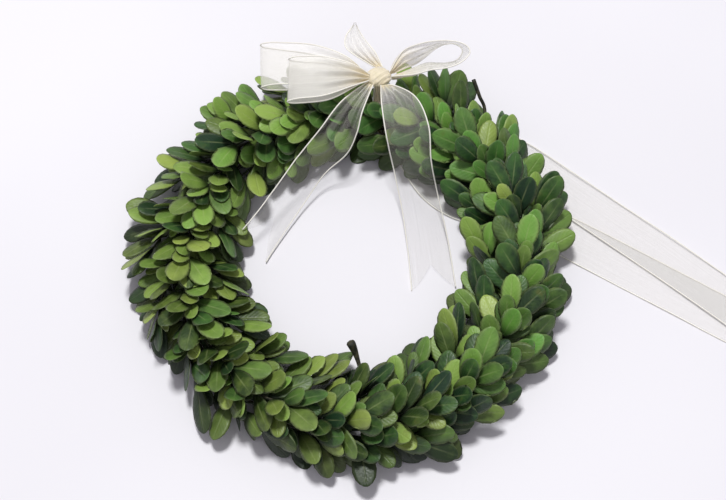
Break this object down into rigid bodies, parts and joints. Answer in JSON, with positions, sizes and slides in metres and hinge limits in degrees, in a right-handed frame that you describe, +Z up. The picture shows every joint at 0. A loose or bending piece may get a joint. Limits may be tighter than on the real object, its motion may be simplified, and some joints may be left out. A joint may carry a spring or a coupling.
{
  "type": "preserved boxwood wreath",
  "caption": "Round wreath of preserved boxwood sprigs bound on a wire hoop, lying on its back, with a sheer ribbon bow and a loose hanging loop.",
  "frame": {"origin": "On the surface that the wreath lies on, under the middle of the whole object, its loose ribbon included.", "axes": "+Z up, out of the wreath's front face; +Y towards the bow; +X towards the side that the loose ribbon lies on."},
  "size_m": [0.3999, 0.2582, 0.0597],
  "materials": {
    "hoop_wire": "satin",
    "foliage": "satin",
    "ribbon": "sheer"
  },
  "bodies": {
    "root": {"wire_ring": "hoop_wire", "binding_wire": "hoop_wire", "sprig_01": "foliage", "sprig_02": "foliage", "sprig_03": "foliage", "sprig_04": "foliage", "sprig_05": "foliage", "sprig_06": "foliage", "sprig_07": "foliage", "sprig_08": "foliage", "sprig_09": "foliage", "sprig_10": "foliage", "sprig_11": "foliage", "sprig_12": "foliage", "sprig_13": "foliage", "sprig_14": "foliage", "sprig_15": "foliage", "sprig_16": "foliage", "sprig_17": "foliage", "sprig_18": "foliage", "sprig_19": "foliage", "sprig_20": "foliage", "sprig_21": "foliage", "sprig_22": "foliage", "sprig_23": "foliage", "sprig_24": "foliage", "sprig_25": "foliage", "sprig_26": "foliage", "sprig_27": "foliage", "sprig_28": "foliage", "sprig_29": "foliage", "sprig_30": "foliage", "sprig_31": "foliage", "sprig_32": "foliage", "sprig_33": "foliage", "sprig_34": "foliage", "sprig_35": "foliage", "sprig_36": "foliage", "sprig_37": "foliage", "sprig_38": "foliage", "sprig_39": "foliage", "sprig_40": "foliage", "sprig_41": "foliage", "sprig_42": "foliage", "sprig_43": "foliage", "sprig_44": "foliage", "sprig_45": "foliage", "sprig_46": "foliage", "sprig_47": "foliage", "sprig_48": "foliage", "ribbon_band": "ribbon", "bow_knot": "ribbon", "bow_loop_left_back": "ribbon", "bow_loop_left_front": "ribbon", "bow_loop_right": "ribbon", "bow_short_end": "ribbon", "bow_tail_left": "ribbon", "bow_tail_right": "ribbon", "hanging_ribbon": "ribbon"}
  },
  "joints": []
}
